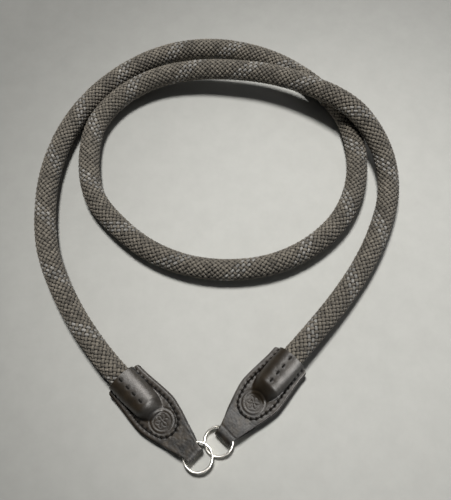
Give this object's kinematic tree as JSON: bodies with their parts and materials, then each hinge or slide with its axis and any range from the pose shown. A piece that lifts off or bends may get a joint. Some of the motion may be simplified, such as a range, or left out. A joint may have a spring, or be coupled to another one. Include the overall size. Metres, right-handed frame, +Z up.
{
  "type": "coiled camera strap",
  "caption": "Braided rope strap lying in a loose coil, with a folded and sewn leather tab and a split ring at each end.",
  "frame": {"origin": "on the table, under the middle of the two tabs and rings", "axes": "+Z up from the table, +Y from the rings towards the far side of the coil, +X from the left tab to the right tab"},
  "size_m": [0.1881, 0.2323, 0.0222],
  "materials": {
    "braid": "coarse braid of warm grey yarn with pale flecks",
    "leather": "dark brown-grey leather, satin",
    "steel": "polished split rings"
  },
  "bodies": {
    "root": {"rope": "braid", "left_tab": "leather", "right_tab": "leather", "left_ring": "steel", "right_ring": "steel"}
  },
  "joints": []
}
